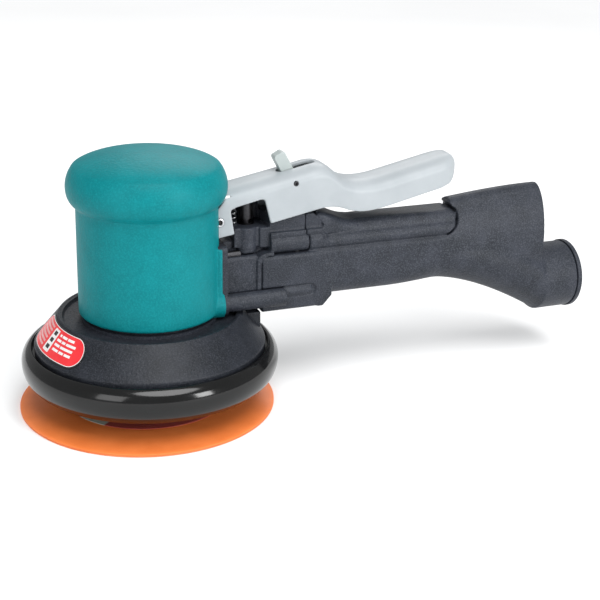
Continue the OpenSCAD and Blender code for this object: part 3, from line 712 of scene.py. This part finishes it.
def rear_shapes():
    """Arched inlet block, the flare that sweeps down from the grip, and the exhaust tail."""
    front, end, flare_end, exhaust_r = 181, 256, 258, 21.5
    upper = []
    for i in range(13):
        x = front + (end - front) * i / 12
        top = 109.2 + 5 * math.sin(math.pi / 2 * max(0, (x - 187)) / (end - 187))
        foot = 74 - 12 * (x - front) / (end - front)
        section = (arc((0, 78), (16.6, top - 78), 0, 180, 24) + arc((-11.6, foot + 5), 5, 180, 270, 8)
                   + arc((11.6, foot + 5), 5, 270, 360, 8))
        upper.append([(x, y, z) for y, z in section])
    flare = []
    for i in range(25):
        x = 172 + (flare_end - 172) * i / 24
        t = max(0.0, (x - 183) / (flare_end - 183))
        r = 16.2 + (exhaust_r - 16.2) * t
        middle = 58.8 - 29.6 * t ** 1.55 - 0.2 + r
        flare.append([(x, y, z) for y, z in arc((0, middle), r, 0, 360, 48)[:-1]])
    flare[-1] = [(flare_end, y, z) for y, z in arc((0, CHAMBER_Z), exhaust_r, 0, 360, 48)[:-1]]
    block = loft("rear_block", upper)
    around = ([(150, 89.0), (181, 89.0)] + curve((183, 89.0), (191, 89.4), (195.3, 95.0), (195.3, 101))
              + curve((195.3, 101), (195.3, 103.2), (194.8, 104.6), (193.4, 105.3))
              + arc((194.6, 107.5), 2.5, 240, 110, 8) + [(193.7, 130), (150, 130)])
    carve([block], [bar_y("around_grip", around, 30)])
    tail = rod("tail", exhaust_r, (257.5, 0, CHAMBER_Z), (280.6, 0, CHAMBER_Z), 96)
    return [block, loft("rear_flare", flare), tail]


def front_shapes():
    """Thick front plate with its ramp, the sleeve above it, and the deck under the lever."""
    plate = bar_x("front_plate", rounded(-16.8, 16.8, 53.8, 88.8, 2.2), 64.6, 104)
    ramp = bar_y("front_ramp", [(100, 53.8), (103.6, 53.8), (109.4, 60), (109.4, 80), (100, 80)], 16.7)
    sleeve = bar_x("sleeve", rounded(-16.25, 16.25, 88.7, 101.2, 6.2, 10), 94.9, 105.6)
    lug = bar_x("sleeve_lug", rounded(-16.7, -14.4, 96.6, 99.2, 1.1), 103.6, 105.5)
    deck_line = [(93.0, 95), (93.0, 112.1), (98.2, 112.1), (102.6, 106.0), (103.4, 101), (103.4, 95)]
    deck = bar_y("deck", deck_line, 12.6)
    ledge = bar_x("deck_ledge", rounded(-15.2, 15.2, 99.5, 102.7, 0.6), 93.0, 103.2)
    core = box("deck_core", (92.8, -9, 86), (112, 9, 103))
    return [plate, ramp, sleeve, lug, deck, ledge, core]


def handle():
    """Handle body in one moulding, bored for the inlet and the exhaust."""
    parts = front_shapes() + grip_shapes() + rear_shapes()
    y, z, r = SIDE_TUBE
    # Recess in front of and beside the side tube, then the tube's own seat and the two bores.
    groove = bar_x("groove", [(-30, 61.6), (-15.6, 61.6), (-15.6, 69.4), (-30, 69.4)], 60, 95)
    groove_end = rod("groove_end", 3.9, (95, -30, 65.5), (95, -15.6, 65.5), 32)
    seat = rod("seat", r + 0.1, (30, y, z), (79.2, y, z), 40)
    inlet = rod("inlet", 9.52, (231, 0, 84), (260, 0, 84), 64)
    mouth = rod("mouth", 18.3, (257, 0, CHAMBER_Z), (290, 0, CHAMBER_Z), 64)
    # The skirts of the pressed lever come down beside the front of the ridge.
    skirts = [box("skirt_room", (96, low, 106.2), (112, high, 113))
              for low, high in ((-17, -12.8), (12.8, 17))]
    carve(parts, [groove, groove_end, seat, inlet, mouth, *skirts])
    front_plate = parts[0]
    carve([front_plate], [rod("screw_well", 3.7, (88, y, 50), (88, y, 64), 32) for y in (-11, 11)])
    rib = rod("groove_rib", 3.1, (78, -14.6, 65.2), (96, -14.6, 65.2), 24)
    skin = fuse("handle_skin", parts + [rib], 0.62)
    finish(skin, "black_moulding", "root", "handle_body")


def valve_housing():
    """Casting between the head and the handle, with the valve tower and its ribbed guard."""
    root = bar_x("root", rounded(-15.0, 15.0, 57, 90, 2), 42.5, 62)
    border_line = ([(64.35, 57), (64.35, 83.5)] + arc((69.6, 83.6), 5.25, 180, 90, 8)
                   + [(72, 88.85), (72, 91), (67, 91)] + arc((66.4, 85.6), 5.0, 90, 180, 8) + [(61.4, 57)])
    border = bar_y("border", border_line, 16.4)
    tower = bar_x("tower", rounded(-11, 11, 94.2, 106.3, 0.6), 48.7, 69.9)
    step = bar_x("step", rounded(-12.6, 12.6, 93.6, 105.9, 0.5), 64.2, 69.6)
    neck = bar_x("neck", rounded(-8, 8, 89, 98, 1), 42.5, 74)
    bosses = [rod("boss", 6.5, (57.4, y, 91), (57.4, y, 106.2)) for y in (-6.5, 6.5)]
    shelf = bar_x("shelf", rounded(-16.25, 16.25, 89.0, 101.2, 6.05, 10), 70.2, 94.4)
    deck = bar_x("shelf_deck", rounded(-12.6, 12.6, 95, 112.2, 1.2), 70.2, 92.5)
    ledge = bar_x("ledge", rounded(-15.2, 15.2, 99.5, 102.7, 0.6), 70.2, 92.5)
    guard = bar_x("guard", rounded(5.8, 12.4, 104, 117, 1.2), 49.8, 69.4)
    ribs = [rod("guard_rib", 0.75, (x, 5.9, 106), (x, 5.9, 116), 16)
            for x in (50.8 + 2.35 * k for k in range(8))]
    parts = [root, border, tower, step, neck, *bosses, shelf, deck, ledge, guard, *ribs]
    y, z, r = SIDE_TUBE
    seat = rod("seat", r + 0.1, (30, y, z), (79, y, z), 40)
    stem_room = rod("stem_room", 4.95, (STEM_X, 0, 70), (STEM_X, 0, 110))
    carve(parts, [seat, stem_room])
    skin = fuse("valve_housing_skin", parts, 0.5, 2)
    finish(skin, "black_moulding", "root", "valve_housing")


def side_tube():
    """Exhaust tube beside the casting, with a rolled rear edge."""
    y, z, r = SIDE_TUBE
    outline = [(r - 1.5, 39.5), (r, 39.5), (r, 77.6)] + arc((r - 0.5, 77.9), 0.55, 0, 90, 4) + [
        (r - 0.8, 78.7), (r - 1.5, 78.7)]
    tube = lathe("side_tube", outline, 64, (y, z), "x")
    smooth(tube, 40)
    finish(tube, "black_moulding", "root", "exhaust_tube")


def exhaust_cap():
    """Rim round the exhaust, with a round outer edge and a bevelled bore."""
    rim, back = 22.1, TOOL_END
    outline = ([(12, back - 4), (18.2, back - 4), (18.2, back - 3.1), (rim - 0.5, back - 3.1)]
               + arc((rim - 0.4, back - 2.7), 0.4, -90, 0, 4) + arc((rim - 0.9, back - 0.9), 0.9, 0, 90, 6)
               + [(14, back), (12.6, back - 0.6), (12, back - 1.4)])
    cap = lathe("exhaust_rim", outline, 128, (0, CHAMBER_Z), "x")
    smooth(cap, 40)
    finish(cap, "black_moulding", "root", "exhaust_cap")


# ---- lever -------------------------------------------------------------------------------

def lever_top():
    """Top line of the lever from the head to its tail: hump, dip and straight tail."""
    return (curve((43.5, 129.6), (52, 131.0), (80, 136.2), (98, 140.2), 14)
            + curve((98, 140.2), (108, 141.4), (110, 136.8), (115, 132.9), 10)[1:]
            + curve((115, 132.9), (122, 127.6), (134, 127.4), (146, 130.2), 10)[1:]
            + [(186, 139.0), (189.5, 139.2), (194, 139.0)])


def top_at(x, line):
    """Height of the line at x."""
    for (x0, z0), (x1, z1) in zip(line, line[1:]):
        if x <= x1:
            return z0 + (z1 - z0) * max(0.0, (x - x0)) / (x1 - x0)
    return line[-1][1]


def lever_envelope(name, shrink, drop):
    """Long body with round shoulders that follows the top line of the lever."""
    line = lever_top()
    rings = []
    stations = [30 + 2.5 * i for i in range(60)] + [179, 181, 183, 185, 187, 188.5, 190, 191, 191.7, 192.2]
    for x in stations:
        taper = max(0.0, (x - 178) / 14.4)
        half = (15 - shrink) * math.sqrt(max(1 - (taper ** 2.4) * 0.66, 0.05))
        across, up = half - 3.5, 6.8
        top = top_at(x, line) - drop
        section = ([(half, 90)] + arc((half - across, top - up), (across, up), 0, 90, 12)
                   + arc((across - half, top - up), (across, up), 90, 180, 12) + [(-half, 90)])
        rings.append([(x, y, z) for y, z in section])
    return loft(name, rings)


def lever_side():
    """Side outline: up the front, over the top, round the tail and back along the underside."""
    front = ([(47.8, 104.3)] + curve((38.0, 102.8), (36.6, 102.5), (36.1, 102.9), (36.1, 104.5), 4)
             + [(36.4, 114.3), (37.4, 119.9), (41.8, 125), (43.7, 130)])
    top = [(x, z + 3) for x, z in lever_top() if x < 186]
    tail = (curve((186, 142), (191.0, 141), (192.6, 136), (192.2, 131), 6)
            + curve((192.2, 131), (191.6, 126), (189.5, 122.9), (184, 121.7), 6))
    underside = (curve((179.7, 120.3), (150, 114), (135, 108.5), (124, 111.3), 12)
                 + curve((120, 112.2), (112, 115.9), (106, 115.9), (100, 114.6), 8))
    notch = (curve((71.6, 109.0), (70.4, 108.8), (70.2, 108.9), (69.9, 109.8), 3)
             + curve((66.9, 121.6), (66.4, 123.6), (65.6, 124.1), (63.6, 123.7), 4)
             + curve((48.2, 120.3), (46.4, 119.9), (45.5, 119.0), (45.7, 117.4), 4))
    return front + top + tail + underside + notch


def lever():
    """Channel open below, with a slot for the tab and a round nose that presses the stem."""
    body = lever_envelope("lever_body", 0, 0)
    keep(body, bar_y("lever_side", lever_side(), 20))
    # Cavity, gap between the front ears, open tail, slot for the tab, room for the dome, pin holes.
    hollow = lever_envelope("hollow", 1.8, 2.3)
    keep(hollow, box("hollow_limit", (30, -20, 80), (187.5, 20, 160)))
    front = box("hollow_front", (25, -13.2, 80), (46.5, 13.2, 127.2))
    open_end = box("open_end", (186, -7.5, 90), (197, 7.5, 129))
    slot = box("slot", (82.3, -3.9, 128), (98.6, 3.9, 146))
    slot_ends = [rod("slot_end", 3.9, (x, 0, 128), (x, 0, 146), 32) for x in (82.4, 98.5)]
    room = [(r + 0.3, z) for r, z in dome_outline() if z > 124.4 and r > 43]
    dome = lathe("dome_room", [(0, 124.2), (41.8, 124.2), *room, (42, 150), (0, 150)], 128)
    pins = [rod("pin_hole", 2.55, (PIVOT[0], -30, PIVOT[1]), (PIVOT[0], 30, PIVOT[1])),
            rod("lock_hole", 1.5, (LOCK[0], -30, LOCK[1]), (LOCK[0], 30, LOCK[1]), 32)]
    nose = rod("nose", 2.5, (STEM_X, -5, 123.62), (STEM_X, 5, 123.62), 32)
    post = box("nose_post", (STEM_X - 2.2, -5, 123.6), (STEM_X + 2.2, 5, 131.5))
    carve([body], [hollow, front, open_end, slot, *slot_ends, dome, *pins])
    skin = fuse("lever_skin", [body, nose, post], 0.42)
    finish(skin, "lever_grey", "lever", "throttle_lever")


def lock_tab():
    """Safety tab: a leaning head above the lever, and a leg that blocks it below."""
    px, pz = LOCK
    lean = math.radians(28)
    head = []
    for x, z in rounded(-2.4, 5.0, -1, 17.0, (0.5, 1.7), 5):
        head.append((px + x * math.cos(lean) - z * math.sin(lean),
                     pz + x * math.sin(lean) + z * math.cos(lean)))
    tab = bar_y("tab_head", head, 3.4)
    leg = bar_y("tab_leg", rounded(px - 2.2, px + 2.2, pz - 17.5, pz + 1, 2.1, 6), 3.4)
    eye = rod("tab_eye", 4.0, (px, -3.4, pz), (px, 3.4, pz), 40)
    parts = [tab, leg, eye]
    carve(parts, [rod("eye_hole", 1.55, (px, -9, pz), (px, 9, pz), 32)])
    skin = fuse("lock_tab_skin", parts, 0.33)
    finish(skin, "tab_white", "lock", "lock_tab")


def pivot_pin():
    """Hollow rivet through the lever's ears, with a dark disc of painted shade inside each end."""
    x, z = PIVOT
    for side in (-1, 1):
        eyelet = rod("eyelet", 2.5, (x, side * 11, z), (x, side * 15.5, z), 40)
        carve([eyelet], [rod("eyelet_hole", 1.55, (x, side * 14.2, z), (x, side * 17, z), 32)])
        bevel(eyelet, 0.25)
        finish(eyelet, "steel", "root", "lever_pin")
        # Thin dark disc at the bottom of the rivet's hole: painted shade for its dark inside, not a seal.
        well = rod("eyelet_shade_disc", 1.5, (x, side * 14.1, z), (x, side * 14.4, z), 32)
        smooth(well)
        finish(well, "seal_rubber", "root", "lever_pin")
    middle = rod("pivot_rod", 2.45, (x, -11.2, z), (x, 11.2, z), 40)
    smooth(middle)
    finish(middle, "steel", "root", "lever_pin")


def lever_coil():
    """Return spring under the lever: a helix of round wire with its ends lying flat."""
    x, radius, wire, turns = 51.4, 2.1, 0.4, 8
    low, high = 106.5, 126.8
    steps, sides = turns * 20, 8
    rings = []
    for i in range(steps + 1):
        t = i / steps
        a = 2 * math.pi * turns * t
        rise = min(max((t - 0.08) / 0.84, 0), 1)
        z = low + wire + (high - low - 2 * wire) * rise
        out = Vector((math.cos(a), math.sin(a), 0))
        middle = Vector((x, 0, z)) + out * radius
        rings.append([tuple(middle + out * wire * math.cos(b) + Vector((0, 0, wire * math.sin(b))))
                      for b in (2 * math.pi * k / sides for k in range(sides))])
    spring = loft("lever_coil", rings)
    smooth(spring, 80)
    finish(spring, "steel", "root", "lever_spring")


# ---- stage -------------------------------------------------------------------------------

def camera():
    """Camera above the near side of the tool, a little towards the head's end."""
    heading, pitch, roll = 68.58, -20.86, 1.02
    place = Vector((-184.0, -711.5, 343.7)) * MM
    h, p = math.radians(heading), math.radians(pitch)
    forward = Vector((math.cos(p) * math.cos(h), math.cos(p) * math.sin(h), math.sin(p)))
    right = forward.cross(Vector((0, 0, 1))).normalized()
    up = right.cross(forward)
    turn = Matrix.Rotation(math.radians(roll), 3, -forward)
    right, up = turn @ right, turn @ up
    data = bpy.data.cameras.new("camera")
    data.lens = 79.56
    data.sensor_width = 36
    data.clip_start = 0.01
    obj = bpy.data.objects.new("camera", data)
    scene.collection.objects.link(obj)
    obj.matrix_world = Matrix((
        (right.x, up.x, -forward.x, place.x), (right.y, up.y, -forward.y, place.y),
        (right.z, up.z, -forward.z, place.z), (0, 0, 0, 1)))
    scene.camera = obj


def area_light(name, place, target, size, power):
    """Rectangular soft light; sizes and places in metres."""
    data = bpy.data.lights.new(name, "AREA")
    data.shape = "RECTANGLE"
    data.size, data.size_y = size
    data.energy = power
    obj = bpy.data.objects.new(name, data)
    scene.collection.objects.link(obj)
    obj.location = place
    obj.rotation_euler = (Vector(target) - Vector(place)).to_track_quat("-Z", "Y").to_euler()


def stage():
    """Pale floor just under the pad, a soft sun, and three light cards round the tool."""
    reach, level = 3000, -0.05
    corners = [(-reach, -reach, level), (reach, -reach, level), (reach, reach, level), (-reach, reach, level)]
    floor = build("studio_floor", corners, [(0, 1, 2, 3)])
    s = Shader("studio_floor", 0.8, 0, 0.2)
    s.color(s.ramp(s.noise(400), [(0.3, (0.93, 0.93, 0.93)), (0.7, (0.96, 0.96, 0.96))]))
    floor.data.materials.append(s.material)
    world = bpy.data.worlds.new("studio")
    world.use_nodes = True
    world.node_tree.nodes["Background"].inputs["Color"].default_value = (0.97, 0.985, 1, 1)
    world.node_tree.nodes["Background"].inputs["Strength"].default_value = 0.42
    scene.world = world
    sky = bpy.data.lights.new("soft_sun", "SUN")
    sky.energy = 2.2
    sky.angle = math.radians(40)
    sun = bpy.data.objects.new("soft_sun", sky)
    scene.collection.objects.link(sun)
    sun.rotation_euler = Vector((-0.05, 0.45, -0.9)).to_track_quat("-Z", "Y").to_euler()
    area_light("front_card", (0.58, -1.0, 0.40), (0.04, 0, 0.04), (0.28, 0.50), 6)
    area_light("left_card", (-0.9, -0.75, 0.55), (0, 0, 0.06), (0.5, 0.7), 3.2)
    area_light("back_card", (0.45, 0.85, 0.75), (0.12, 0, 0.08), (0.6, 0.4), 3)
    scene.view_settings.view_transform = "Standard"


camera()
stage()
dress_cad()
grip_cover()
shroud()
overskirt_ring()
pad()
label()
handle()
valve_housing()
side_tube()
exhaust_cap()
lever()
lock_tab()
pivot_pin()
lever_coil()
